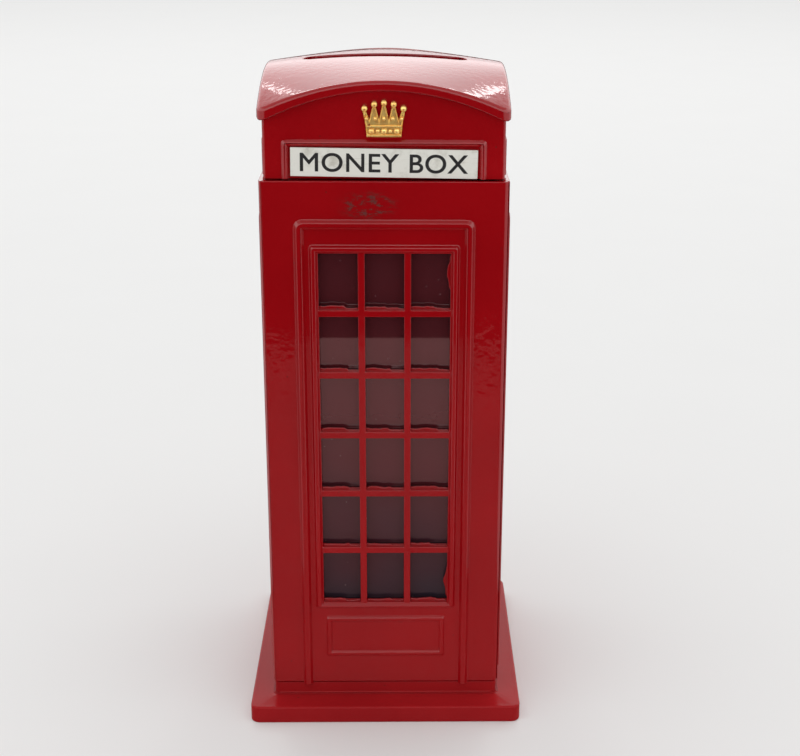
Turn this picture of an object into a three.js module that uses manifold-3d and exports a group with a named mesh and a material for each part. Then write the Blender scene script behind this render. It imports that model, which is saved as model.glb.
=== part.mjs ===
// Kiosk-shaped money box: four die-cast side panels stand on a square plinth under a domed roof
// with a coin slot. A push-in stopper closes the coin hole in the plinth.
// Millimetres, +Z up, origin at the centre of the footprint. The front faces -Y.
import * as THREE from 'three';
import { mergeVertices } from 'three/addons/utils/BufferGeometryUtils.js';
import Module from 'manifold-3d';

const wasm = await Module();
wasm.setup();

// ---- Driving dimensions ----

// Clearances
const gap = 0.3; // between neighbouring pieces that touch in use
const seamGap = 0.2; // between two panels at a corner

// Body: four equal panels, each overlapping the next at its right-hand end
const bodyWidth = 50.2; // over the flat outer faces
const bodyHeight = 114;
const panelThickness = 2;
const cornerRadius = 1.2; // rounded right-hand end of each panel
const cornerReveal = 0.55; // how much of the neighbour's rounded end shows past a panel's left edge

// Windows, placed by the margins that are left around them
const paneColumns = 3;
const paneRows = 6;
const glazingBar = 1.4; // width of the bars between the panes
const windowSideMargin = 11.625; // panes to the panel's edge
const windowTopMargin = 14.8;
const sillHeight = 19.9; // panel's foot to the lowest panes

// Raised mouldings on each panel: a flat band with a slope on both sides
const windowBand = { start: 0.6, width: 0.6, slope: 0.6, raise: 0.6 };
const windowSillBand = 0.25; // width of the window moulding's bottom member
const doorBand = { start: 3.25, width: 0.75, slope: 0.8, raise: 0.75 };
const doorHeadRise = 5.45; // panes to the underside of the door frame's head
const doorHeadBand = 1.2;
const doorFootLap = 0.45; // the door frame's feet hang this far below the panel
const kickBand = { width: 0.6, slope: 0.4, raise: 0.35 };
const kickPanelWidth = 24.1; // inside the moulding of the blank lower panel
const kickPanelHeight = 7.9;
const kickPanelRise = 7.6; // panel's foot to the blank panel

// Glazing sheet behind the panes
const sheetThickness = 0.4;
const sheetLap = 2; // how far the sheet runs past the panes all round

// Roof casting: a square lintel under a shallow dome whose four edges are arched
const lintelSetback = 1; // lintel face behind the body's face
const lintelWall = 1.9;
const lintelCorner = 0.6;
const roofHeight = 21.3; // lintel's foot to the crest
const domeThickness = 2;
const domeSideDrop = 1.8; // crest down to the middle of each edge
const domeCornerDrop = 7.9; // crest down to the corners
const domeDivisions = 22;
const slotLength = 34.4;
const slotWidth = 4.4;

// Signs, each set in a shallow pocket with a raised rim over it
const signThickness = 0.4;
const signHeight = 5.75;
const signSideMargin = 5.5; // lintel's edge to the sign
const signRise = 0.4; // lintel's foot to the sign
const signTilt = -0.013; // the front sign is stuck on slightly askew, in radians
const signPocketDepth = 0.35;
const signPocketPlay = 0.45; // pocket's edge to the sign, all round
const rimBand = { width: 0.35, slope: 0.5, raise: 0.5 };

// Coronet badges above the signs
const badgeWidth = 8.8;
const badgeHeight = 7.3;
const badgeThickness = 0.6;
const badgeRise = 8.6; // lintel's foot to the badge

// Plinth casting
const slabProjection = 5.2; // slab beyond the riser
const slabHeight = 3.9;
const slabCorner = 2;
const weathering = 0.4; // rise of the slab's sloping top
const weatheringInset = 0.7; // slope's top edge outside the riser
const riserTop = 7.2;
const riserWall = 2.5;
const riserCorner = 1;
const undersideRecess = 2.2;
const undersideRim = 3.5;

// Coin hole and its stopper
const coinHoleRadius = 16.5;
const stopperFlange = 2.7; // flange beyond the coin hole
const stopperFlangeThickness = 1.4;
const stopperWall = 1.6;
const stopperHeight = 6; // flange's underside to the top of the plug
const stopperCrown = 1.2; // thickness of the plug's closed top
const gripBar = 2.2; // bar across the hollow underside
const gripBarInset = 0.4;

// Screws: one at each corner, up into the roof and up into the panels
const screwInset = 5.3; // body's face to the screw's axis
const screwRadius = 1.1;
const screwHeadRadius = 2.1;
const screwHeadHeight = 1.5;
const screwDrive = { width: 0.7, length: 2.6, depth: 0.7 };
const lugReach = 3.2; // lug's edge from the screw's axis
const lugHeight = 4.5;
const bossRadius = 3;
const roofScrewGrip = 5.5; // thread inside the roof boss
const roofHoleDepth = 7.5;
const baseScrewGrip = 3.5; // thread inside the panel's lug

// ---- Sizes that follow ----

const half = bodyWidth / 2;
const bodyBase = riserTop + gap;
const bodyTop = bodyBase + bodyHeight;
const fieldHalf = half - windowSideMargin;
const fieldBase = bodyBase + sillHeight;
const fieldTop = bodyTop - windowTopMargin;
const paneWidth = (2 * fieldHalf - (paneColumns - 1) * glazingBar) / paneColumns;
const paneHeight = (fieldTop - fieldBase - (paneRows - 1) * glazingBar) / paneRows;
const lintelHalf = half - lintelSetback;
const lintelBase = bodyTop + gap;
const crest = lintelBase + roofHeight;
const signHalf = lintelHalf - signSideMargin;
const signTop = lintelBase + signRise + signHeight;
const riserHalf = half - gap;
const slabHalf = riserHalf + slabProjection;
const plateTop = slabHeight + weathering;
const screwPlace = half - screwInset;
const screwHole = screwRadius + gap;
const plugRadius = coinHoleRadius - gap;
const flangeTop = undersideRecess - gap;
const flangeBase = flangeTop - stopperFlangeThickness;

// ---- Finishes ----

const finish = (color, roughness, metalness) => new THREE.MeshStandardMaterial({ color, roughness, metalness });
const redPaint = finish(0x9c0c12, 0.22, 0.1);
const signCard = finish(0xd2cec0, 0.45, 0);
const giltPaint = finish(0xd9ac57, 0.3, 0.9);
const tintedSheet = finish(0x2c1a1c, 0.1, 0);
const blackPlastic = finish(0x161617, 0.5, 0);
const zincPlate = finish(0x9a9c9e, 0.35, 0.9);

// ---- Solid helpers ----

// Turns a closed three.js geometry into a solid that can be joined and cut.
function solid(geometry) {
  const bare = geometry.clone();
  bare.deleteAttribute('normal');
  bare.deleteAttribute('uv');
  const merged = mergeVertices(bare, 1e-4);
  const mesh = new wasm.Mesh({
    numProp: 3,
    vertProperties: new Float32Array(merged.attributes.position.array),
    triVerts: new Uint32Array(merged.index.array),
  });
  return new wasm.Manifold(mesh);
}

// Turns a solid back into a geometry.
function toGeometry(body) {
  const { vertProperties, triVerts } = body.getMesh();
  const geometry = new THREE.BufferGeometry();
  geometry.setAttribute('position', new THREE.BufferAttribute(new Float32Array(vertProperties), 3));
  geometry.setIndex(new THREE.BufferAttribute(new Uint32Array(triVerts), 1));
  geometry.computeVertexNormals();
  return geometry;
}

const join = (...bodies) => bodies.reduce((sum, body) => sum.add(body));
const cut = (body, ...tools) => tools.reduce((rest, tool) => rest.subtract(tool), body);

// A box between two opposite corners.
function block(low, high) {
  const size = high.map((value, axis) => value - low[axis]);
  const geometry = new THREE.BoxGeometry(...size);
  geometry.translate(...low.map((value, axis) => value + size[axis] / 2));
  return solid(geometry);
}

// An upright rod between two heights.
function rod(radius, x, y, base, top, sides = 20) {
  const geometry = new THREE.CylinderGeometry(radius, radius, top - base, sides);
  geometry.rotateX(Math.PI / 2);
  geometry.translate(x, y, (base + top) / 2);
  return solid(geometry);
}

// The outline of a rectangle, with rounded corners where a radius is given.
function rectangle(left, base, right, top, radius = 0) {
  const shape = new THREE.Shape();
  if (radius === 0) {
    return shape.moveTo(left, base).lineTo(right, base).lineTo(right, top).lineTo(left, top).closePath();
  }
  shape.absarc(right - radius, base + radius, radius, -Math.PI / 2, 0);
  shape.absarc(right - radius, top - radius, radius, 0, Math.PI / 2);
  shape.absarc(left + radius, top - radius, radius, Math.PI / 2, Math.PI);
  shape.absarc(left + radius, base + radius, radius, Math.PI, 1.5 * Math.PI);
  return shape.closePath();
}

const square = (reach, radius = 0) => rectangle(-reach, -reach, reach, reach, radius);

// An outline drawn in plan, raised between two heights.
function upright(shape, base, top) {
  const options = { depth: top - base, bevelEnabled: false, curveSegments: 5 };
  const geometry = new THREE.ExtrudeGeometry(shape, options);
  geometry.translate(0, 0, base);
  return solid(geometry);
}

// An outline drawn on the front (x to the right, z up) as a band with sloping sides, standing
// `band.raise` proud of a face at y = -face and rooted in the wall behind it.
function moulding(shape, band, face, root = 0.4) {
  const geometry = new THREE.ExtrudeGeometry(shape, {
    depth: root,
    bevelEnabled: true,
    bevelThickness: band.raise,
    bevelSize: band.slope,
    bevelSegments: 1,
    curveSegments: 4,
  });
  geometry.rotateX(Math.PI / 2);
  geometry.translate(0, root - face, 0);
  return solid(geometry);
}

// Outline of an upside-down U: two legs and a head.
function arch(outer, inner, foot, headBase, headTop) {
  const shape = new THREE.Shape();
  shape.moveTo(-outer, foot).lineTo(-inner, foot).lineTo(-inner, headBase).lineTo(inner, headBase);
  shape.lineTo(inner, foot).lineTo(outer, foot).lineTo(outer, headTop).lineTo(-outer, headTop);
  return shape.closePath();
}

// Outline of a closed rectangular frame.
function frameOutline(left, base, right, top, width, baseWidth = width) {
  const shape = rectangle(left, base, right, top);
  shape.holes.push(rectangle(left + width, base + baseWidth, right - width, top - width));
  return shape;
}

// ---- Panels ----

// Plan of a front panel: its left end is cut at 45 degrees, and its right end is rounded and then
// follows the next panel's cut.
function panelPlan() {
  const leftEdge = cornerReveal - half;
  const seamShift = cornerReveal - seamGap * Math.SQRT2;
  const roundEnd = Math.PI / 4 + Math.asin(seamShift / (cornerRadius * Math.SQRT2));
  const centre = [half - cornerRadius, cornerRadius - half];
  const shape = new THREE.Shape();
  shape.moveTo(leftEdge, -half).lineTo(centre[0], -half);
  shape.absarc(...centre, cornerRadius, -Math.PI / 2, roundEnd - Math.PI / 2);
  shape.lineTo(half + seamShift - panelThickness, panelThickness - half);
  shape.lineTo(leftEdge + panelThickness, panelThickness - half);
  return shape.closePath();
}

// The openings between the glazing bars.
function paneCutters() {
  const cutters = [];
  for (let column = 0; column < paneColumns; column += 1) {
    for (let row = 0; row < paneRows; row += 1) {
      const left = -fieldHalf + column * (paneWidth + glazingBar);
      const base = fieldBase + row * (paneHeight + glazingBar);
      const low = [left, -half - 2, base];
      cutters.push(block(low, [left + paneWidth, -half + panelThickness + 1, base + paneHeight]));
    }
  }
  return cutters;
}

// The moulding round the panes.
function windowMoulding() {
  const { start, width } = windowBand;
  const outer = fieldHalf + start + width;
  const base = fieldBase - start - windowSillBand;
  const outline = frameOutline(-outer, base, outer, fieldTop + start + width, width, windowSillBand);
  return moulding(outline, windowBand, half);
}

// The door frame: two legs down to the plinth and a head. Below the panel it keeps clear of the
// plinth's riser.
function doorMoulding() {
  const inner = fieldHalf + doorBand.start;
  const outer = inner + doorBand.width;
  const head = fieldTop + doorHeadRise;
  const foot = bodyBase - doorFootLap + doorBand.slope;
  const outline = arch(outer, inner, foot, head, head + doorHeadBand);
  const behind = block([-half, -half, 0], [half, 0, bodyBase]);
  return cut(moulding(outline, doorBand, half), behind);
}

// The frame of the blank panel under the windows.
function kickMoulding() {
  const margin = kickBand.slope + kickBand.width;
  const right = kickPanelWidth / 2 + kickBand.width;
  const base = bodyBase + kickPanelRise - kickBand.width;
  const top = base + kickPanelHeight + 2 * kickBand.width;
  const outline = frameOutline(-right, base, right, top, margin - kickBand.slope);
  return moulding(outline, kickBand, half);
}

// A lug inside the panel's right-hand end, drilled for a screw.
function cornerLug(base, top) {
  const low = [screwPlace - lugReach, -half + panelThickness / 2, base];
  const high = [half - panelThickness - gap, -screwPlace + lugReach, top];
  return block(low, high);
}

function panelGeometry() {
  const plate = upright(panelPlan(), bodyBase, bodyTop);
  const glazed = cut(join(plate, windowMoulding()), ...paneCutters());
  const dressed = join(
    glazed,
    doorMoulding(),
    kickMoulding(),
    cornerLug(bodyBase, bodyBase + lugHeight),
    cornerLug(bodyTop - lugHeight, bodyTop),
  );
  const holes = rod(screwHole, screwPlace, -screwPlace, bodyBase - 1, bodyTop + 1);
  return toGeometry(cut(dressed, holes));
}

function glazingGeometry() {
  const reach = fieldHalf + sheetLap;
  const outer = -half + panelThickness + gap;
  const geometry = new THREE.BoxGeometry(2 * reach, sheetThickness, fieldTop - fieldBase + 2 * sheetLap);
  geometry.translate(0, outer + sheetThickness / 2, (fieldTop + fieldBase) / 2);
  return geometry;
}

// ---- Roof ----

// Height of the dome's upper surface.
function domeHeight(x, y) {
  const bend = domeSideDrop / half ** 2;
  const twist = (domeCornerDrop - 2 * domeSideDrop) / half ** 4;
  return crest - bend * (x * x + y * y) - twist * x * x * y * y;
}

// The space under the dome's surface lowered by `drop`, down to a flat floor or to a second surface.
function underDome(drop, thickness, floor = null) {
  const geometry = new THREE.BoxGeometry(2 * half, 2 * half, 1, domeDivisions, domeDivisions, 1);
  const points = geometry.attributes.position;
  for (let i = 0; i < points.count; i += 1) {
    const surface = domeHeight(points.getX(i), points.getY(i)) - drop;
    const lower = floor === null ? surface - thickness : floor;
    points.setZ(i, points.getZ(i) > 0 ? surface : lower);
  }
  return solid(geometry);
}

function coinSlot() {
  const reach = (slotLength - slotWidth) / 2;
  const shape = new THREE.Shape();
  shape.absarc(reach, 0, slotWidth / 2, -Math.PI / 2, Math.PI / 2);
  shape.absarc(-reach, 0, slotWidth / 2, Math.PI / 2, 1.5 * Math.PI);
  return upright(shape.closePath(), lintelBase, crest + 5);
}

// The raised rim over one sign, and the pocket that the sign is stuck into.
function signRim() {
  const inner = signHalf + signPocketPlay + rimBand.slope;
  const head = signTop + signPocketPlay + rimBand.slope;
  const outline = arch(inner + rimBand.width, inner, lintelBase, head, head + rimBand.width);
  const below = block([-half, -half, bodyTop - 3], [half, 0, lintelBase]);
  return cut(moulding(outline, rimBand, lintelHalf), below);
}

function signPocket() {
  const reach = signHalf + signPocketPlay;
  const low = [-reach, -lintelHalf - 1, lintelBase - 1];
  return block(low, [reach, -lintelHalf + signPocketDepth, signTop + signPocketPlay]);
}

const quarterTurns = [0, 90, 180, 270];
const onEachSide = (body) => quarterTurns.map((turn) => body.rotate([0, 0, turn]));

function roofGeometry() {
  const dome = underDome(0, domeThickness);
  const space = underDome(domeThickness / 2, 0, lintelBase - 1);
  const walls = square(lintelHalf, lintelCorner);
  walls.holes.push(square(lintelHalf - lintelWall));
  const lintel = upright(walls, lintelBase, crest).intersect(space);
  const boss = rod(bossRadius, screwPlace, -screwPlace, lintelBase, crest).intersect(space);
  const threadTop = lintelBase + roofHoleDepth;
  const thread = rod(screwHole, screwPlace, -screwPlace, lintelBase - 1, threadTop, 16);
  const shell = join(dome, lintel, ...onEachSide(boss), ...onEachSide(signRim()));
  return toGeometry(cut(shell, coinSlot(), ...onEachSide(signPocket()), ...onEachSide(thread)));
}

function signGeometry() {
  const geometry = new THREE.BoxGeometry(2 * signHalf, signThickness, signHeight);
  geometry.translate(0, signThickness / 2 - lintelHalf + signPocketDepth - gap - signThickness, 0);
  return geometry;
}

// A plain five-pointed coronet with a ball on each point, standing on a band.
function badgeGeometry() {
  const ball = 0.55;
  const points = 5;
  const bandTop = badgeHeight * 0.3;
  const waist = badgeWidth / 2 - 1;
  const spread = badgeWidth / 2 - ball;
  const shape = new THREE.Shape();
  shape.moveTo(-waist, 0).lineTo(waist, 0).lineTo(waist + 0.2, bandTop);
  for (let i = points - 1; i >= 0; i -= 1) {
    const offset = (2 * i) / (points - 1) - 1;
    const x = offset * spread;
    const tip = badgeHeight - ball - 2 * Math.abs(offset) ** 2 * ball;
    shape.absarc(x, tip, ball, -Math.PI / 3, 1.3 * Math.PI);
    if (i > 0) shape.lineTo(x - spread / (points - 1), bandTop + 1.1);
  }
  shape.lineTo(-waist - 0.2, bandTop);
  const options = { depth: badgeThickness, bevelEnabled: false, curveSegments: 4 };
  const geometry = new THREE.ExtrudeGeometry(shape.closePath(), options);
  geometry.rotateX(Math.PI / 2);
  geometry.translate(0, -lintelHalf - gap, lintelBase + badgeRise);
  return geometry;
}

// ---- Plinth and stopper ----

// The slab's sloping top: a four-sided frustum.
function weatheredTop() {
  const wide = slabHalf - slabCorner * 0.3;
  const narrow = riserHalf + weatheringInset;
  const sides = 4;
  const geometry = new THREE.CylinderGeometry(narrow * Math.SQRT2, wide * Math.SQRT2, weathering, sides);
  geometry.rotateX(Math.PI / 2);
  geometry.rotateZ(Math.PI / 4);
  geometry.translate(0, 0, slabHeight + weathering / 2);
  return solid(geometry);
}

function plinthGeometry() {
  const slab = upright(square(slabHalf, slabCorner), 0, slabHeight);
  const ring = square(riserHalf, riserCorner);
  ring.holes.push(square(riserHalf - riserWall));
  const riser = upright(ring, slabHeight, riserTop);
  const recess = upright(square(slabHalf - undersideRim, slabCorner), -1, undersideRecess);
  const post = rod(bossRadius, screwPlace, -screwPlace, slabHeight, riserTop);
  const hole = rod(screwHole, screwPlace, -screwPlace, -1, riserTop + 1, 16);
  const body = join(slab, weatheredTop(), riser, ...onEachSide(post));
  const coinHole = rod(coinHoleRadius, 0, 0, -1, riserTop + 1, 48);
  return toGeometry(cut(body, recess, coinHole, ...onEachSide(hole)));
}

// A plug that is closed at the top, with a flange at the bottom and a bar across its hollow.
function stopperGeometry() {
  const top = flangeBase + stopperHeight;
  const hollow = plugRadius - stopperWall;
  const profile = [
    [0, top - stopperCrown],
    [hollow, top - stopperCrown],
    [hollow, flangeBase],
    [coinHoleRadius + stopperFlange, flangeBase],
    [coinHoleRadius + stopperFlange, flangeTop],
    [plugRadius, flangeTop],
    [plugRadius, top],
    [0, top],
  ].map(([radius, z]) => new THREE.Vector2(radius, z));
  const lathe = new THREE.LatheGeometry(profile, 48);
  lathe.rotateX(Math.PI / 2);
  const barLow = [-hollow - stopperWall / 2, -gripBar / 2, flangeBase + gripBarInset];
  const bar = block(barLow, [hollow + stopperWall / 2, gripBar / 2, top - stopperCrown / 2]);
  return toGeometry(join(solid(lathe), bar));
}

// ---- Screws ----

// A pan-head screw pointing up, its head's seat at z = 0, with a slot across the head.
function screwGeometry(length) {
  const crownRadius = screwHeadRadius * 0.75;
  const profile = [
    [0, -screwHeadHeight],
    [crownRadius, -screwHeadHeight],
    [screwHeadRadius, -screwHeadHeight * 0.55],
    [screwHeadRadius, 0],
    [screwRadius, 0],
    [screwRadius, length - screwRadius],
    [0, length],
  ].map(([radius, z]) => new THREE.Vector2(radius, z));
  const lathe = new THREE.LatheGeometry(profile, 16);
  lathe.rotateX(Math.PI / 2);
  const { width, length: across, depth } = screwDrive;
  const low = [-across / 2, -width / 2, -screwHeadHeight - 1];
  const slot = block(low, [across / 2, width / 2, depth - screwHeadHeight]);
  return toGeometry(cut(solid(lathe), slot));
}

// ---- Assembly ----

const moneyBox = new THREE.Group();

function place(parent, name, geometry, material) {
  const mesh = new THREE.Mesh(geometry, material);
  mesh.name = name;
  parent.add(mesh);
  return mesh;
}

place(moneyBox, 'plinth', plinthGeometry(), redPaint);
place(moneyBox, 'stopper', stopperGeometry(), blackPlastic);
place(moneyBox, 'roof', roofGeometry(), redPaint);

const panel = panelGeometry();
const glazing = glazingGeometry();
const sign = signGeometry();
const badge = badgeGeometry();
const roofScrewSeat = bodyTop - lugHeight - gap;
const roofScrew = screwGeometry(lugHeight + 2 * gap + roofScrewGrip);
const baseScrewSeat = undersideRecess - gap;
const baseScrew = screwGeometry(bodyBase - baseScrewSeat + baseScrewGrip);

const sides = ['front', 'right', 'back', 'left'];
const corners = ['front_right', 'back_right', 'back_left', 'front_left'];

sides.forEach((side, index) => {
  const quarter = new THREE.Group();
  quarter.rotation.z = (index * Math.PI) / 2;
  moneyBox.add(quarter);
  place(quarter, `panel_${side}`, panel, redPaint);
  place(quarter, `glazing_${side}`, glazing, tintedSheet);
  place(quarter, `crown_${side}`, badge, giltPaint);
  const plate = place(quarter, `sign_${side}`, sign, signCard);
  plate.position.z = lintelBase + signRise + signHeight / 2;
  plate.rotation.y = side === 'front' ? -signTilt : 0;
  const upper = place(quarter, `roof_screw_${corners[index]}`, roofScrew, zincPlate);
  upper.position.set(screwPlace, -screwPlace, roofScrewSeat);
  const lower = place(quarter, `base_screw_${corners[index]}`, baseScrew, zincPlate);
  lower.position.set(screwPlace, -screwPlace, baseScrewSeat);
});

export default moneyBox;
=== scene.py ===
"""Looks of the kiosk money box: enamelled castings, dark glazing, signs, coronets and studio."""

from __future__ import annotations

import logging
import math
import random
from dataclasses import dataclass, field
from enum import Enum
from typing import Iterable, Optional, Union

import bmesh
import bpy
from mathutils import Matrix, Vector

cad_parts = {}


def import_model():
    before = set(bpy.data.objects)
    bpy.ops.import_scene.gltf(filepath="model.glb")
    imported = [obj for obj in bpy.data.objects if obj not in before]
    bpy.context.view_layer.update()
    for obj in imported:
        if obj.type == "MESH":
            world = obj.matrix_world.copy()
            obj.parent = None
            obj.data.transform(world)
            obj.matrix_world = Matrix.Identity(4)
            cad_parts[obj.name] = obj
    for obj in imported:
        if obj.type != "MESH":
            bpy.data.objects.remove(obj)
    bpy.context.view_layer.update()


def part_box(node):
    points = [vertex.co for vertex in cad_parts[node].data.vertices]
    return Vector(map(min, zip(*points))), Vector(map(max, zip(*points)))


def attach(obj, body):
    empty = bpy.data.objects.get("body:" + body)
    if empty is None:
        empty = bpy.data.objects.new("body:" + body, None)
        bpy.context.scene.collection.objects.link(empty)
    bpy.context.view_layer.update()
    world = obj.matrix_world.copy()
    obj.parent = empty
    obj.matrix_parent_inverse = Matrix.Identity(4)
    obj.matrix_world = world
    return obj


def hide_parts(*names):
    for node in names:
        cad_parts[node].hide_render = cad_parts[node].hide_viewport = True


log = logging.getLogger("money_box")

MM = 0.001
CASE = "case"
STOPPER = "stopper"
SCREW_PLACE = 19.8 * MM
SCREW_HOLE = 1.4 * MM
HALF_ROUND = 0.499
Colour = tuple[float, float, float, float]
Place = tuple[float, float, float]
Shape = bmesh.types.BMesh


class Side(Enum):
    """The four faces of the box, each with its turn about the upright axis in degrees."""

    FRONT = 0
    RIGHT = 90
    BACK = 180
    LEFT = 270

    @property
    def label(self) -> str:
        """The side's name in the frame's nodes."""
        return self.name.lower()

    @property
    def turn(self) -> Matrix:
        """The turn that takes a front piece to this side."""
        return Matrix.Rotation(math.radians(self.value), 4, "Z")


class Slot(Enum):
    """The record's material slots."""

    RED = "red_paint"
    CARD = "sign_card"
    GILT = "gilt"
    FILM = "tinted_sheet"
    BLACK = "black_plastic"
    ZINC = "zinc"


# ---- Shader graphs ----


@dataclass
class Value:
    """A number on a shader link, which can stand in a sum."""

    graph: "Graph"
    socket: bpy.types.NodeSocket

    def __add__(self, other: Number) -> "Value":
        """Sum."""
        return self.graph.math("ADD", self, other)

    def __radd__(self, other: Number) -> "Value":
        """Sum with the number first."""
        return self.graph.math("ADD", other, self)

    def __sub__(self, other: Number) -> "Value":
        """Difference."""
        return self.graph.math("SUBTRACT", self, other)

    def __rsub__(self, other: Number) -> "Value":
        """Difference with the number first."""
        return self.graph.math("SUBTRACT", other, self)

    def __mul__(self, other: Number) -> "Value":
        """Product."""
        return self.graph.math("MULTIPLY", self, other)

    def __rmul__(self, other: Number) -> "Value":
        """Product with the number first."""
        return self.graph.math("MULTIPLY", other, self)


Number = Union[float, int, Value]
Input = Union[float, Value, tuple]


class Graph:
    """A node tree that is written as expressions."""

    def __init__(self, tree: bpy.types.NodeTree) -> None:
        """Empties the tree.

        Args:
            tree: the material's or world's node tree.
        """
        self.tree = tree
        tree.nodes.clear()

    def node(
        self,
        kind: str,
        settings: Optional[dict] = None,
        inputs: Optional[dict] = None,
    ) -> bpy.types.Node:
        """Adds one node.

        Args:
            kind: the node's type.
            settings: the node's own settings, set first.
            inputs: values or links by socket name or number.

        Returns:
            The new node.
        """
        made = self.tree.nodes.new(kind)
        for key, value in (settings or {}).items():
            setattr(made, key, value)
        for key, value in (inputs or {}).items():
            if isinstance(value, Value):
                self.tree.links.new(value.socket, made.inputs[key])
            else:
                made.inputs[key].default_value = value
        return made

    def out(self, made: bpy.types.Node, socket: Union[str, int] = 0) -> Value:
        """One of a node's outputs."""
        return Value(self, made.outputs[socket])

    def math(self, operation: str, *terms: Number) -> Value:
        """A Math node on one or two terms."""
        made = self.node("ShaderNodeMath", {"operation": operation}, dict(enumerate(terms)))
        return self.out(made)

    def place(self, centre: Vector = Vector(), stretch: tuple = (1, 1, 1)) -> Value:
        """The piece's own coordinates in metres.

        Args:
            centre: the point taken as the origin.
            stretch: factor along each axis.

        Returns:
            The coordinates.
        """
        own = self.out(self.node("ShaderNodeTexCoord"), "Object")
        shift = tuple(-c * s for c, s in zip(centre, stretch))
        mapped = {"Vector": own, "Location": shift, "Scale": stretch}
        return self.out(self.node("ShaderNodeMapping", None, mapped))

    def noise(self, place: Value, scale: float, detail: float = 2, roughness: float = 0.5) -> Value:
        """Soft noise from 0 to 1.

        Args:
            place: coordinates.
            scale: blobs per metre.
            detail: finer layers.
            roughness: strength of the finer layers.

        Returns:
            The noise.
        """
        inputs = {"Vector": place, "Scale": scale, "Detail": detail, "Roughness": roughness}
        return self.out(self.node("ShaderNodeTexNoise", None, inputs))

    def cells(self, place: Value, scale: float) -> Value:
        """Distance to the nearest of scattered points, in cell sizes."""
        inputs = {"Vector": place, "Scale": scale}
        return self.out(self.node("ShaderNodeTexVoronoi", None, inputs), "Distance")

    def step(self, value: Value, low: float, high: float) -> Value:
        """A soft step.

        Args:
            value: what is compared.
            low: where the result is 0.
            high: where the result is 1; below low, the step falls.

        Returns:
            From 0 to 1.
        """
        first, last, start, end = (low, high, 0.0, 1.0) if low < high else (high, low, 1.0, 0.0)
        settings = {"interpolation_type": "SMOOTHSTEP"}
        made = self.node(
            "ShaderNodeMapRange", settings, {0: value, 1: first, 2: last, 3: start, 4: end}
        )
        return self.out(made)

    def mix(self, factor: Number, first: Input, second: Input) -> Value:
        """Colours mixed by a factor."""
        settings = {"data_type": "RGBA"}
        return self.out(self.node("ShaderNodeMix", settings, {0: factor, 6: first, 7: second}), 2)

    def axes(self, place: Value) -> tuple[Value, Value, Value]:
        """A vector's three parts."""
        split = self.node("ShaderNodeSeparateXYZ", None, {0: place})
        return self.out(split, 0), self.out(split, 1), self.out(split, 2)

    def bump(self, height: Value, depth: float, under: Optional[Value] = None) -> Value:
        """A bumped normal.

        Args:
            height: from 0 to 1.
            depth: metres of relief for a height of 1.
            under: the normal of a layer below.

        Returns:
            The normal.
        """
        inputs = {"Height": height, "Distance": depth, "Strength": 1.0}
        if under is not None:
            inputs["Normal"] = under
        return self.out(self.node("ShaderNodeBump", None, inputs))

    def reach(self, centre: tuple, size: tuple) -> Value:
        """Distance from a point, which is 1 on the ellipsoid of some half sizes."""
        near = self.place(Vector(centre), tuple(1 / half for half in size))
        return self.out(self.node("ShaderNodeVectorMath", {"operation": "LENGTH"}, {0: near}), 1)


# ---- Finishes ----


@dataclass(frozen=True)
class Finish:
    """A named procedural finish."""

    name: str

    def paint(self, g: Graph) -> dict:
        """The main shader's inputs.

        Args:
            g: the material's graph.

        Returns:
            Numbers and values by socket.
        """
        raise NotImplementedError

    def build(self) -> bpy.types.Material:
        """Makes the material."""
        material = bpy.data.materials.new(self.name)
        material.use_nodes = True
        g = Graph(material.node_tree)
        shader = g.node("ShaderNodeBsdfPrincipled", None, self.paint(g))
        g.node("ShaderNodeOutputMaterial", None, {0: g.out(shader)})
        return material


@dataclass(frozen=True)
class Enamel(Finish):
    """Thick glossy enamel over die-cast zinc: orange peel, runs, pinholes and rubbed smudges."""

    name: str = "red_enamel"
    colour: Colour = (0.350, 0.0030, 0.0060, 1)
    deep: Colour = (0.312, 0.0023, 0.0050, 1)
    smudge: Colour = (0.085, 0.015, 0.012, 1)
    smudge_at: Place = (-0.0032, -0.0251, 0.1166)
    smudge_size: Place = (0.0075, 0.004, 0.0036)
    peel_depth: float = 0.000008
    peel_scale: float = 620
    pool_gain: float = 10.0
    pools: tuple[Place, ...] = ((0.0216, -0.0251, 0.0835), (-0.0225, -0.0251, 0.081))
    pool_size: Place = (0.0045, 0.004, 0.015)
    gloss: float = 0.5
    roughness: float = 0.055

    def paint(self, g: Graph) -> dict:
        """The main shader's inputs."""
        place = g.place()
        cloud = g.noise(place, 45, 3)
        grain = g.noise(place, 1900, 2)
        body = g.mix(g.step(cloud * 0.8 + grain * 0.2, 0.35, 0.7), self.deep, self.colour)
        pinhole = g.step(g.cells(place, 330), 0.075, 0.04)
        # Some pinholes are darkened towards the smudge colour and also bumped in as small pits.
        dark_pinholes = pinhole * g.step(g.noise(place, 120, 1), 0.5, 0.6)
        reach = g.reach(self.smudge_at, self.smudge_size)
        ragged = g.step(g.noise(g.place(stretch=(700, 700, 1500)), 1, 4, 0.7), 0.44, 0.62)
        smudge = g.step(reach, 1.0, 0.35) * ragged
        colour = g.mix(smudge * 0.9, g.mix(dark_pinholes * 0.6, body, self.smudge), self.smudge)
        pool = g.step(g.noise(place, 42, 1), 0.58, 0.7) * 0.4
        for centre in self.pools:
            pool = pool + g.step(g.reach(centre, self.pool_size), 1.0, 0.5)
        peel = g.noise(place, self.peel_scale, 1.5, 0.45) * (1 + pool * self.pool_gain)
        runs = g.noise(g.place(stretch=(1, 1, 0.55)), 150, 1)
        lumps = g.noise(place, 60, 1)
        normal = g.bump(runs, 0.000012, g.bump(lumps, 0.000015))
        normal = g.bump(peel, self.peel_depth, normal)
        normal = g.bump(1 - dark_pinholes, 0.00001, normal)
        return {
            "Base Color": colour,
            "Roughness": self.roughness + grain * 0.03 + smudge * 0.35,
            "Specular IOR Level": self.gloss,
            "IOR": 1.5,
            "Normal": normal,
        }


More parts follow.
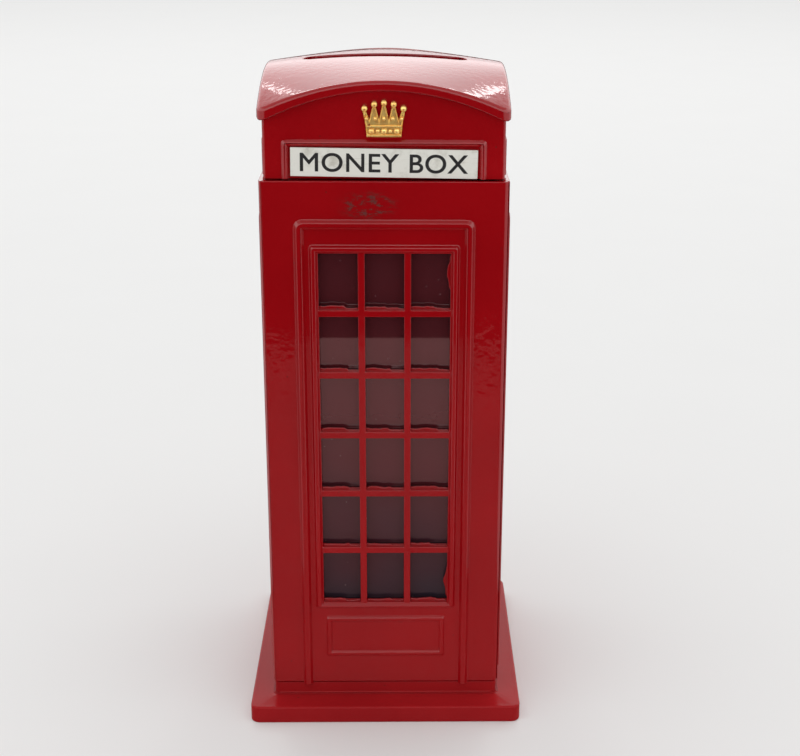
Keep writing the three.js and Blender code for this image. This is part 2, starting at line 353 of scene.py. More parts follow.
@dataclass(frozen=True)
class Film(Finish):
    """Dark glossy film that glazes the windows, a little wavy and dusty; its colour and gloss
    change with height as painted light.
    """

    name: str = "window_film"
    # Painted light and shade: panes above the turn are a warm dark red and panes below a dark
    # blue-grey. These colours stand in for how the glazing is lit and what it reflects; the film
    # itself is one colour.
    upper: Colour = (0.083, 0.0125, 0.017, 1)
    lower: Colour = (0.011, 0.0200, 0.031, 1)
    dust: Colour = (0.20, 0.14, 0.15, 1)
    painted_light_turn_height: float = 0.054

    def paint(self, g: Graph) -> dict:
        """The main shader's inputs."""
        place = g.place()
        _, _, height = g.axes(place)
        wave = g.noise(place, 55, 1.5)
        # Painted light: the colour turns from upper to lower at this height.
        tone = g.step(height + wave * 0.03, self.painted_light_turn_height + 0.03, self.painted_light_turn_height - 0.03)
        speck = g.step(g.cells(place, 520), 0.09, 0.05) * g.step(g.noise(place, 170, 1), 0.52, 0.6)
        haze = g.noise(g.place(stretch=(1, 1, 3)), 90, 4, 0.65)
        colour = g.mix(tone, self.upper, self.lower)
        colour = g.mix(speck * 0.5 + haze * 0.035, colour, self.dust)
        bent = g.bump(wave, 0.00002)
        ripples = g.bump(g.noise(g.place(stretch=(0.5, 0.5, 2.4)), 190, 1), 0.000003, bent)
        return {
            "Base Color": colour,
            "Roughness": 0.12 + haze * 0.08 + speck * 0.4,
            "Specular IOR Level": 0.0,
            # Painted reflection: the coat weakens towards the bottom, standing in for the shaded
            # floor that the lower panes reflect.
            "Coat Weight": 0.28 + g.step(height, 0.02, 0.08) * 0.72,
            "Coat Roughness": 0.02,
            "Coat IOR": 2.0,
            "Normal": ripples,
        }


@dataclass(frozen=True)
class Card(Finish):
    """Printed off-white sign face, slightly stained and scuffed."""

    name: str = "sign_face"
    colour: Colour = (0.86, 0.85, 0.78, 1)
    stain: Colour = (0.38, 0.35, 0.27, 1)

    def paint(self, g: Graph) -> dict:
        """The main shader's inputs."""
        place = g.place()
        blot = g.step(g.noise(place, 210, 4, 0.6), 0.5, 0.72)
        scuff = g.step(g.noise(g.place(stretch=(200, 200, 2600)), 1, 3, 0.6), 0.6, 0.74)
        mark = blot * 0.55 + scuff * 0.25
        fibre = g.noise(place, 3000, 2)
        return {
            "Base Color": g.mix(mark, self.colour, self.stain),
            "Roughness": 0.36 + mark * 0.25,
            "Coat Weight": 0.25 - mark * 0.2,
            "Coat Roughness": 0.2,
            "Normal": g.bump(fibre, 0.000006, g.bump(g.noise(place, 130, 1), 0.00004)),
        }


@dataclass(frozen=True)
class Ink(Finish):
    """Black printed letters, rubbed a little thin in places."""

    name: str = "sign_ink"
    colour: Colour = (0.012, 0.012, 0.013, 1)
    rubbed: Colour = (0.045, 0.042, 0.038, 1)

    def paint(self, g: Graph) -> dict:
        """The main shader's inputs."""
        place = g.place()
        thin = g.step(g.noise(place, 1500, 3, 0.6), 0.58, 0.75)
        return {
            "Base Color": g.mix(thin, self.colour, self.rubbed),
            "Roughness": 0.4 + thin * 0.2,
            "Normal": g.bump(g.noise(place, 2500, 2), 0.000004),
        }


@dataclass(frozen=True)
class Gilding(Finish):
    """Gold paint brushed over the cast coronet, thin enough at the edges to show some red."""

    name: str = "gilding"
    colour: Colour = (1.0, 0.74, 0.25, 1)
    shade: Colour = (0.92, 0.53, 0.15, 1)
    under: Colour = (0.22, 0.01, 0.01, 1)

    def paint(self, g: Graph) -> dict:
        """The main shader's inputs."""
        place = g.place()
        patchy = g.step(g.noise(place, 900, 3, 0.6), 0.35, 0.7)
        missed = g.step(g.noise(place, 520, 3, 0.6), 0.69, 0.73)
        colour = g.mix(missed, g.mix(patchy, self.shade, self.colour), self.under)
        leafy = g.noise(place, 2300, 2)
        return {
            "Base Color": colour,
            "Metallic": 0.6 - missed * 0.6,
            "Roughness": 0.16 + leafy * 0.16,
            "Normal": g.bump(leafy, 0.00003, g.bump(g.noise(place, 700, 1), 0.00008)),
        }


@dataclass(frozen=True)
class Moulded(Finish):
    """Black moulded plastic with a fine spark-eroded texture and pale scuffs."""

    name: str = "black_moulded"
    colour: Colour = (0.017, 0.017, 0.018, 1)
    scuffed: Colour = (0.07, 0.07, 0.068, 1)

    def paint(self, g: Graph) -> dict:
        """The main shader's inputs."""
        place = g.place()
        scuff = g.step(g.noise(g.place(stretch=(90, 700, 300)), 1, 5, 0.7), 0.6, 0.72)
        spark = g.noise(place, 4200, 2)
        return {
            "Base Color": g.mix(scuff, self.colour, self.scuffed),
            "Roughness": 0.42 + spark * 0.12 + scuff * 0.15,
            "Normal": g.bump(spark, 0.000012),
        }


@dataclass(frozen=True)
class Plated(Finish):
    """Zinc-plated steel with a faint yellow passivation and drawn scratches."""

    name: str = "zinc_plated"
    colour: Colour = (0.56, 0.56, 0.55, 1)
    tint: Colour = (0.50, 0.46, 0.34, 1)

    def paint(self, g: Graph) -> dict:
        """The main shader's inputs."""
        place = g.place()
        tint = g.step(g.noise(place, 600, 2), 0.45, 0.65)
        scratch = g.noise(g.place(stretch=(6000, 900, 900)), 1, 3)
        return {
            "Base Color": g.mix(tint, self.colour, self.tint),
            "Metallic": 1.0,
            "Roughness": 0.26 + scratch * 0.2,
            "Normal": g.bump(scratch, 0.000008),
        }


@dataclass(frozen=True)
class Paper(Finish):
    """The studio's seamless pale sheet."""

    name: str = "studio_paper"
    colour: Colour = (0.82, 0.82, 0.815, 1)

    def paint(self, g: Graph) -> dict:
        """The main shader's inputs."""
        tooth = g.noise(g.place(), 25, 2)
        tone = g.mix(tooth, tuple(0.985 * c for c in self.colour[:3]) + (1,), self.colour)
        return {"Base Color": tone, "Roughness": 0.75, "Specular IOR Level": 0.0}


@dataclass
class Finishes:
    """Every finish on the box, made once."""

    enamel: bpy.types.Material = field(default_factory=Enamel().build)
    # Painted light: the roof's enamel is a brighter red than the panels' enamel, standing in for
    # the light that falls on the upward-facing roof. Its coarser orange peel is a bump.
    roof_enamel: bpy.types.Material = field(
        default_factory=Enamel(
            name="rippled_red_enamel_painted_light",
            colour=(0.385, 0.0040, 0.0075, 1),
            peel_depth=0.00004,
            peel_scale=850,
            pool_gain=0.6,
        ).build
    )
    # Painted sheen: the foot's enamel is paler and pinker than the panels' enamel and nearly
    # without gloss, so its colour stands in for the sheen the foot shows.
    foot_enamel: bpy.types.Material = field(
        default_factory=Enamel(
            name="dull_red_enamel_painted_sheen",
            colour=(0.38, 0.0130, 0.0160, 1),
            deep=(0.33, 0.0100, 0.0130, 1),
            gloss=0.09,
            roughness=0.13,
        ).build
    )
    film: bpy.types.Material = field(default_factory=Film().build)
    card: bpy.types.Material = field(default_factory=Card().build)
    ink: bpy.types.Material = field(default_factory=Ink().build)
    gilding: bpy.types.Material = field(default_factory=Gilding().build)
    plastic: bpy.types.Material = field(default_factory=Moulded().build)
    plated: bpy.types.Material = field(default_factory=Plated().build)


# ---- Mesh helpers ----


def add_object(name: str, data: bpy.types.ID) -> bpy.types.Object:
    """Adds an object to the scene."""
    made = bpy.data.objects.new(name, data)
    bpy.context.scene.collection.objects.link(made)
    return made


def to_mesh(bm: Shape, name: str) -> bpy.types.Mesh:
    """Turns a shape, which is freed, into mesh data."""
    mesh = bpy.data.meshes.new(name)
    bm.to_mesh(mesh)
    bm.free()
    return mesh


def extrude(bm: Shape, faces: list[bmesh.types.BMFace]) -> list[bmesh.types.BMVert]:
    """Extrudes faces in place and returns the new corners."""
    grown = bmesh.ops.extrude_face_region(bm, geom=faces)["geom"]
    return [g for g in grown if isinstance(g, bmesh.types.BMVert)]


def node_mesh(node: str) -> Shape:
    """A CAD node's shape, welded and with its flat faces whole.

    Args:
        node: the node's name.

    Returns:
        A new mesh.
    """
    bm = bmesh.new()
    bm.from_mesh(bpy.data.objects[node].data)
    bmesh.ops.remove_doubles(bm, verts=bm.verts, dist=0.002 * MM)
    limit = math.radians(0.4)
    bmesh.ops.dissolve_limit(bm, angle_limit=limit, verts=bm.verts, edges=bm.edges)
    return bm


def add_block(bm: Shape, low: tuple, high: tuple) -> list[bmesh.types.BMVert]:
    """Adds a block between two corners and returns its corners."""
    size, centre = Vector(high) - Vector(low), (Vector(high) + Vector(low)) / 2
    matrix = Matrix.Translation(centre) @ Matrix.Diagonal((*size, 1))
    return bmesh.ops.create_cube(bm, size=1, matrix=matrix)["verts"]


def block(low: tuple, high: tuple, rounding: float = 0.0) -> Shape:
    """A block between two corners.

    Args:
        low: its lowest corner.
        high: its highest corner.
        rounding: radius of its upright edges.

    Returns:
        A new mesh.
    """
    bm = bmesh.new()
    add_block(bm, low, high)
    if rounding > 0:
        round_edges(bm, [e for e in bm.edges if is_upright(e)], rounding, 6)
    return bm


def frustum(
    wide: float, base: float, narrow: float, top: float, rounding: float = 0.0
) -> Shape:
    """A square block that narrows upwards.

    Args:
        wide: half its width at the foot.
        base: height of the foot.
        narrow: half its width at the top.
        top: height of the top.
        rounding: radius of its corners in plan.

    Returns:
        A new mesh.
    """
    bm = block((-wide, -wide, base), (wide, wide, top), rounding)
    upper = [v for v in bm.verts if v.co.z > (base + top) / 2]
    bmesh.ops.scale(bm, verts=upper, vec=(narrow / wide, narrow / wide, 1))
    return bm


def rod(radius: float, x: float, y: float, base: float, top: float, sides: int) -> Shape:
    """An upright rod.

    Args:
        radius: its radius.
        x: its place to the right.
        y: its place to the back.
        base: its foot.
        top: its top.
        sides: its number of sides.

    Returns:
        A new mesh.
    """
    bm = bmesh.new()
    matrix = Matrix.Translation((x, y, (base + top) / 2))
    bmesh.ops.create_cone(
        bm,
        cap_ends=True,
        segments=sides,
        radius1=radius,
        radius2=radius,
        depth=top - base,
        matrix=matrix,
    )
    return bm


def is_upright(edge: bmesh.types.BMEdge) -> bool:
    """Whether an edge runs straight up."""
    run = edge.verts[0].co - edge.verts[1].co
    return run.length > 0 and abs(run.z) / run.length > 0.999


def round_edges(
    bm: Shape, edges: list[bmesh.types.BMEdge], radius: float, segments: int
) -> None:
    """Rounds some edges.

    Args:
        bm: the mesh.
        edges: the edges.
        radius: how far back the rounding starts.
        segments: its steps.
    """
    bmesh.ops.bevel(
        bm,
        geom=edges,
        offset=radius,
        offset_type="OFFSET",
        segments=segments,
        profile=0.5,
        affect="EDGES",
        material=-1,
    )


def trim(bm: Shape, point: tuple, outward: tuple) -> None:
    """Cuts away what lies beyond a plane and closes the cut.

    Args:
        bm: the mesh.
        point: a point on the plane.
        outward: the plane's normal, towards what goes.
    """
    slice_at(bm, point, outward, clear=True)
    bmesh.ops.holes_fill(bm, edges=[e for e in bm.edges if e.is_boundary])


def slice_at(bm: Shape, point: tuple, normal: tuple, clear: bool = False) -> None:
    """Adds edges where a plane crosses the mesh.

    Args:
        bm: the mesh.
        point: a point on the plane.
        normal: the plane's normal.
        clear: whether what lies beyond the plane goes.
    """
    geom = bm.verts[:] + bm.edges[:] + bm.faces[:]
    bmesh.ops.bisect_plane(
        bm, geom=geom, plane_co=point, plane_no=normal, clear_outer=clear, dist=1e-7
    )


def carve(bm: Shape, operation: str, *tools: Shape) -> Shape:
    """Joins or cuts solids.

    Args:
        bm: the first solid, which is freed.
        operation: "UNION" or "DIFFERENCE".
        tools: the other solids, which are freed.

    Returns:
        The result.
    """
    for tool in tools:
        solids = []
        for part, name in ((bm, "carved"), (tool, "tool")):
            bmesh.ops.recalc_face_normals(part, faces=part.faces)
            solids.append(add_object(name, to_mesh(part, name)))
        cutter = solids[0].modifiers.new("carve", "BOOLEAN")
        cutter.operation = operation
        cutter.solver = "EXACT"
        cutter.object = solids[1]
        graph = bpy.context.evaluated_depsgraph_get()
        bm = bmesh.new()
        bm.from_mesh(bpy.data.meshes.new_from_object(solids[0].evaluated_get(graph)))
        for solid in solids:
            bpy.data.objects.remove(solid)
    return bm


def merge_in(bm: Shape, part: Shape, turn: Optional[Matrix] = None) -> None:
    """Adds a copy of another mesh's shape.

    Args:
        bm: the mesh that grows.
        part: what is added, which is kept.
        turn: a turn for the copy.
    """
    mesh = bpy.data.meshes.new("part")
    part.to_mesh(mesh)
    if turn is not None:
        mesh.transform(turn)
    bm.from_mesh(mesh)
    bpy.data.meshes.remove(mesh)


@dataclass(frozen=True)
class Band:
    """A raised flat moulding with sloping sides that frames an oblong on a face."""

    width: float
    slope: float
    rise: float
    corner: float = 0.8 * MM
    root: float = 0.1 * MM
    skirt_lap: float = 0.12 * MM
    skirt_slope: float = 0.27 * MM
    skirt_rise: float = 0.09 * MM
    skirt_root: float = 0.02 * MM

    def frame(
        self,
        left: float,
        foot: float,
        right: float,
        head: float,
        face: float,
        sill: Optional[float] = None,
    ) -> Shape:
        """Makes the frame.

        Args:
            left: inner edge of the flat band.
            foot: inner edge of the flat band.
            right: inner edge of the flat band.
            head: inner edge of the flat band.
            face: distance of the face from the middle of the box.
            sill: width of the band's lower member, if it differs.

        Returns:
            A new mesh.
        """
        run = self.slope * (self.rise + self.root) / self.rise
        grow = self.width + run
        low = Vector((left - grow, 0, foot - grow))
        high = Vector((right + grow, 0, head + grow))
        bm = bmesh.new()
        size, centre = high - low, (low + high) / 2
        matrix = (
            Matrix.Translation((centre.x, self.root - face, centre.z))
            @ Matrix.Diagonal((size.x, 1, size.z, 1))
            @ Matrix.Rotation(math.radians(90), 4, "X")
        )
        bmesh.ops.create_grid(bm, x_segments=1, y_segments=1, size=0.5, matrix=matrix)
        whole = bm.faces[:]
        bmesh.ops.inset_individual(
            bm, faces=whole, thickness=self.width + 2 * run, use_even_offset=True
        )
        bmesh.ops.delete(bm, geom=whole, context="FACES_ONLY")
        near = 0.01 * MM
        for vert in extrude(bm, bm.faces[:]):
            vert.co.y = -face - self.rise
            away = vert.co - centre
            shift = -run if abs(abs(away.x) - size.x / 2) < near else run
            vert.co.x += math.copysign(shift, shift * away.x)
            vert.co.z += math.copysign(shift, shift * away.z)
        if sill is not None:
            rim = low.z + run + near
            for vert in bm.verts:
                if vert.co.z <= rim:
                    vert.co.z += self.width - sill
        bmesh.ops.recalc_face_normals(bm, faces=bm.faces)
        corners = [
            e
            for e in bm.edges
            if abs(e.verts[0].co.y - e.verts[1].co.y) > self.rise / 2
            and max(abs(v.co.x - centre.x) for v in e.verts) > size.x / 2 - near
        ]
        round_edges(bm, corners, self.corner, 4)
        return bm

    def with_fillet(self, *sides: float, face: float, sill: Optional[float] = None) -> Shape:
        """Makes the frame over a shallow skirt, which softens its outer root.

        Args:
            sides: inner edges of the flat band: left, foot, right and head.
            face: distance of the face from the middle of the box.
            sill: width of the band's lower member, if it differs.

        Returns:
            A new mesh.
        """
        bm = self.frame(*sides, face, sill)
        grow = self.slope - self.skirt_lap
        skirt = Band(
            self.width + grow, self.skirt_slope, self.skirt_rise, self.corner, self.skirt_root
        )
        merge_in(bm, skirt.frame(*sides, face, None if sill is None else sill + grow))
        return bm


def finish_mesh(
    bm: Shape,
    name: str,
    material: bpy.types.Material,
    body: str = CASE,
    replaces: Iterable[str] = (),
    rounding: float = 0.0,
    segments: int = 2,
    turn: Optional[Matrix] = None,
) -> bpy.types.Object:
    """Turns a mesh into a finished piece.

    Args:
        bm: the shape, which is freed.
        name: the piece's name.
        material: its finish.
        body: the body it rides on.
        replaces: CAD nodes it stands for.
        rounding: radius of its rounded edges.
        segments: steps round each rounded edge.
        turn: a last turn about the upright axis.

    Returns:
        The piece.
    """
    if turn is not None:
        bmesh.ops.transform(bm, matrix=turn, verts=bm.verts)
    for face in bm.faces:
        face.smooth = True
    piece = add_object(name, to_mesh(bm, name))
    piece.data.materials.append(material)
    if rounding > 0:
        bevel = piece.modifiers.new("rounding", "BEVEL")
        bevel.width = rounding
        bevel.segments = segments
        bevel.limit_method = "ANGLE"
        bevel.angle_limit = math.radians(24)
        bevel.use_clamp_overlap = False
        shading = piece.modifiers.new("shading", "WEIGHTED_NORMAL")
        shading.weight = 100
    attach(piece, body)
    if replaces:
        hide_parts(*replaces)
    log.info("piece %s", name)
    return piece


# ---- Body ----


@dataclass
class Body:
    """The four side panels with their castings' ragged flash, and the glazing behind them."""

    finishes: Finishes
    columns: int = 3
    rows: int = 6
    bar: float = 1.4 * MM
    side_margin: float = 11.625 * MM
    sill_height: float = 19.9 * MM
    top_margin: float = 14.8 * MM
    half: float = 25.1 * MM
    thickness: float = 2.0 * MM
    corner: float = 1.2 * MM
    reveal: float = 0.55 * MM
    seam_shift: float = 0.267 * MM
    foot: float = 7.5 * MM
    top: float = 121.5 * MM
    window: Band = Band(0.72 * MM, 0.42 * MM, 0.6 * MM, 0.55 * MM)
    window_start: float = 0.6 * MM
    window_sill: float = 0.25 * MM
    door: Band = Band(1.0 * MM, 0.5 * MM, 0.75 * MM, 1.3 * MM)
    door_start: float = 3.25 * MM
    door_rise: float = 5.45 * MM
    door_lap: float = 0.45 * MM
    door_below: float = 9.0 * MM
    kick: Band = Band(0.66 * MM, 0.3 * MM, 0.35 * MM, 0.4 * MM)
    kick_size: tuple[float, float] = (24.1 * MM, 7.9 * MM)
    kick_rise: float = 7.6 * MM
    lug: tuple[float, float] = (3.2 * MM, 4.5 * MM)
    lug_gap: float = 0.3 * MM
    rounding: float = 0.13 * MM
    flash_steps: int = 16
    flash_depth: float = 0.5 * MM
    flash_setback: float = 0.85 * MM
    flash_buried: float = 0.35 * MM
    flash_drop: tuple[float, float] = (0.5, 0.75)
    flash_tall: tuple[float, float] = (0.4, 0.62)
    flash_least: float = 0.06 * MM
    flash_short: float = 0.35
    wander: float = 0.11
    wander_keep: float = 0.7
    bulges: tuple[tuple[int, float], ...] = ((2, 0.1), (17, 0.35))
    bulge_length: float = 0.6
    bulge_steps: int = 10
    bulge_base: float = 0.15
    bulge_swell: float = 0.55
    bulge_rough: float = 0.12
    seed: int = 11

    @property
    def reach(self) -> float:
        """Half the width of the block of panes."""
        return self.half - self.side_margin

    @property
    def sill(self) -> float:
        """Height of the lowest panes' foot."""
        return self.foot + self.sill_height

    @property
    def head(self) -> float:
        """Height of the uppermost panes' head."""
        return self.top - self.top_margin

    @property
    def pane(self) -> tuple[float, float]:
        """Width and height of one pane."""
        width = (2 * self.reach - (self.columns - 1) * self.bar) / self.columns
        height = (self.head - self.sill - (self.rows - 1) * self.bar) / self.rows
        return width, height

    def panes(self) -> list[tuple[float, float]]:
        """Left edge and foot of each pane, by rows from the bottom."""
        width, height = self.pane
        return [
            (-self.reach + c * (width + self.bar), self.sill + r * (height + self.bar))
            for r in range(self.rows)
            for c in range(self.columns)
        ]

    def plate(self) -> Shape:
        """The panel's plate with its rounded and lapped ends and its window openings."""
        half = self.half
        bm = block((-half, -half, self.foot), (half, self.thickness - half, self.top))
        end = [
            e
            for e in bm.edges
            if is_upright(e) and all(v.co.x > 0 > v.co.y + half - MM for v in e.verts)
        ]
        round_edges(bm, end, self.corner, 6)
        trim(bm, (half + self.seam_shift, -half, 0), (1, 1, 0))
        trim(bm, (self.reveal - half, -half, 0), (-1, 1, 0))
        width, height = self.pane
        lefts = sorted({left for left, _ in self.panes()})
        feet = sorted({foot for _, foot in self.panes()})
        for left in lefts:
            slice_at(bm, (left, 0, 0), (1, 0, 0))
            slice_at(bm, (left + width, 0, 0), (1, 0, 0))
        for foot in feet:
            slice_at(bm, (0, 0, foot), (0, 0, 1))
            slice_at(bm, (0, 0, foot + height), (0, 0, 1))
        for left, foot in self.panes():
            middle = Vector((left + width / 2, 0, foot + height / 2))
            pair = [f for f in bm.faces if abs(f.normal.y) > 0.9 and self.covers(f, middle)]
            rims = list(dict.fromkeys(e for f in pair for e in f.edges))
            bmesh.ops.delete(bm, geom=pair, context="FACES_ONLY")
            bmesh.ops.bridge_loops(bm, edges=rims)
        return bm

    @staticmethod
    def covers(face: bmesh.types.BMFace, point: Vector) -> bool:
        """Whether a face of the plate lies over a point of its plan."""
        away = face.calc_center_median() - point
        return abs(away.x) < 0.5 * MM and abs(away.z) < 0.5 * MM

    def mouldings(self, bm: Shape) -> None:
        """Adds the window frame, the door frame and the blank panel's frame.

        Args:
            bm: the panel's mesh.
        """
        reach, start = self.reach, self.window_start
        sides = (-reach - start, self.sill - start, reach + start, self.head + start)
        frame = self.window.with_fillet(*sides, face=self.half, sill=self.window_sill)
        merge_in(bm, frame)
        reach += self.door_start
        sides = (-reach, self.foot - self.door_below, reach, self.head + self.door_rise)
        door = self.door.with_fillet(*sides, face=self.half)
        trim(door, (0, 0, self.foot - self.door_lap), (0, 0, -1))
        merge_in(bm, door)
        right = self.kick_size[0] / 2
        base = self.foot + self.kick_rise
        sides = (-right, base, right, base + self.kick_size[1])
        merge_in(bm, self.kick.with_fillet(*sides, face=self.half))

    def lugs(self, bm: Shape) -> None:
        """Adds the screw lugs inside the panel's right-hand end.

        Args:
            bm: the panel's mesh.
        """
        place = SCREW_PLACE
        reach, height = self.lug
        for base in (self.foot, self.top - height):
            low = (place - reach, self.thickness / 2 - self.half, base)
            high = (self.half - self.thickness - self.lug_gap, reach - place, base + height)
            hole = rod(SCREW_HOLE, place, -place, base - MM, base + height + MM, 20)
            merge_in(bm, carve(block(low, high), "DIFFERENCE", hole))

    def fin(
        self, bm: Shape, start: Vector, run: Vector, rise: Vector, heights: list[float]
    ) -> None:
        """Adds one thin ragged fin of casting flash.

        Args:
            bm: the panel's mesh.
            start: where the fin begins, in its opening.
            run: along its foot.
            rise: unit vector out of the casting.
            heights: how far it stands out, step by step.
        """
        steps = len(heights) - 1
        made = bmesh.ops.create_grid(bm, x_segments=steps, y_segments=1, size=0.5)["verts"]
        for vert in made:
            along = vert.co.x + 0.5
            tall = heights[round(along * steps)] if vert.co.y > 0 else -self.flash_buried
            vert.co = start + run * along + rise * tall
        faces = list(dict.fromkeys(f for v in made for f in v.link_faces))
        verts = extrude(bm, faces)
        bmesh.ops.translate(bm, verts=verts, vec=(0, self.flash_depth, 0))
        solid = list(dict.fromkeys(f for v in verts + made for f in v.link_faces))
        bmesh.ops.recalc_face_normals(bm, faces=solid)

    def flash(self, bm: Shape, seed: int) -> None:
        """Adds the ragged flash left on the sills and on the right of two panes.

        Args:
            bm: the panel's mesh.
            seed: number that settles the raggedness.
        """
        chance = random.Random(seed)
        width, height = self.pane
        depth = self.flash_setback - self.half
        up, left_way = Vector((0, 0, 1)), Vector((-1, 0, 0))
        bulges = dict(self.bulges)
        for number, (left, foot) in enumerate(self.panes()):
            drop = chance.uniform(*self.flash_drop)
            tall = chance.uniform(*self.flash_tall) * MM
            wander = 0.0
            heights = []
            for step in range(self.flash_steps + 1):
                wander = self.wander_keep * wander + chance.uniform(-self.wander, self.wander) * MM
                rise = tall if step / self.flash_steps < drop else tall * self.flash_short
                heights.append(max(self.flash_least, rise + wander))
            self.fin(bm, Vector((left, depth, foot)), Vector((width, 0, 0)), up, heights)
            if number in bulges:
                start = Vector((left + width, depth, foot + height * bulges[number]))
                run = up * height * self.bulge_length
                self.fin(bm, start, run, left_way, self.bulge(chance))

    def bulge(self, chance: random.Random) -> list[float]:
        """Heights of a bulging fin, step by step."""
        arcs = [math.sin(math.pi * s / self.bulge_steps) ** 2 for s in range(self.bulge_steps + 1)]
        rough, base, swell = self.bulge_rough, self.bulge_base, self.bulge_swell
        return [(base + swell * arc + chance.uniform(-rough, rough)) * MM for arc in arcs]

    def build(self) -> None:
        """Makes the panels and dresses the glazing."""
        for number, side in enumerate(Side):
            bm = self.plate()
            self.mouldings(bm)
            self.lugs(bm)
            self.flash(bm, self.seed + number)
            finish_mesh(
                bm,
                f"casting_{side.label}",
                self.finishes.enamel,
                replaces=[f"panel_{side.label}"],
                rounding=self.rounding,
                segments=3,
                turn=side.turn,
            )
            dress_node(f"glazing_{side.label}", self.finishes.film)


def dress_node(node: str, material: bpy.types.Material) -> None:
    """Gives a CAD node that stays in view its finish."""
    mesh = bpy.data.objects[node].data
    mesh.materials.clear()
    mesh.materials.append(material)
    log.info("node %s", node)


# ---- Roof ----


@dataclass
class Coronet:
    """A cast five-pointed coronet with pearls on its points and jewels on its band."""

    finishes: Finishes
    rim: float = 0.2 * MM
    sunk: float = 0.34 * MM
    pearl: float = 0.62 * MM
    pearl_inset: float = 0.55 * MM
    pearl_proud: float = 0.25 * MM
    tip_fall: float = 1.1 * MM
    jewels: tuple[float, float] = (0.62 * MM, 0.42 * MM)
    jewel_at: Place = (1.9 * MM, 0.1 * MM, 1.15 * MM)
    stud: float = 0.34 * MM
    flatness: float = 0.8
    stud_at: Place = (0.9 * MM, 0.0, 3.6 * MM)
    rails: tuple[float, ...] = (0.25 * MM, 2.05 * MM)
    rail_inset: float = 0.95 * MM
    rail_half: float = 0.18 * MM
    rail_depth: tuple[float, float] = (0.15 * MM, 0.3 * MM)
    rounding: float = 0.07 * MM

    def ball(self, bm: Shape, centre: tuple, radius: float) -> None:
        """Adds a small ball, a little flattened from front to back."""
        matrix = Matrix.Translation(centre) @ Matrix.Diagonal((1, self.flatness, 1, 1))
        bmesh.ops.create_uvsphere(bm, u_segments=16, v_segments=10, radius=radius, matrix=matrix)

    def build(self, side: Side) -> None:
        """Makes the coronet on one side of the roof.

        Args:
            side: which side.
        """
        bm = node_mesh("crown_front")
        low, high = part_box("crown_front")
        middle = (low.y + high.y) / 2
        reach = (high.x - low.x) / 2
        bm.normal_update()
        flat = [face for face in bm.faces if face.normal.y < -0.99]
        bmesh.ops.inset_region(
            bm,
            faces=bmesh.ops.triangulate(bm, faces=flat)["faces"],
            thickness=self.rim,
            depth=-self.sunk,
            use_boundary=True,
            use_even_offset=True,
        )
        for step in range(-2, 3):
            place = step / 2
            tip = high.z - self.pearl - self.tip_fall * place * place
            across = place * (reach - self.pearl_inset)
            self.ball(bm, (across, middle - self.pearl_proud, tip), self.pearl)
            jewels = ((self.jewel_at, self.jewels[step % 2]), (self.stud_at, self.stud))
            for (inset, depth, rise), radius in jewels:
                self.ball(bm, (place * (reach - inset), low.y + depth, low.z + rise), radius)
        across, half = reach - self.rail_inset, self.rail_half
        front, back = self.rail_depth
        for rise in self.rails:
            base = low.z + rise
            corner = (-across, low.y - front, base - half)
            add_block(bm, corner, (across, low.y + back, base + half))
        finish_mesh(
            bm,
            f"coronet_{side.label}",
            self.finishes.gilding,
            replaces=[f"crown_{side.label}"],
            rounding=self.rounding,
            turn=side.turn,
        )


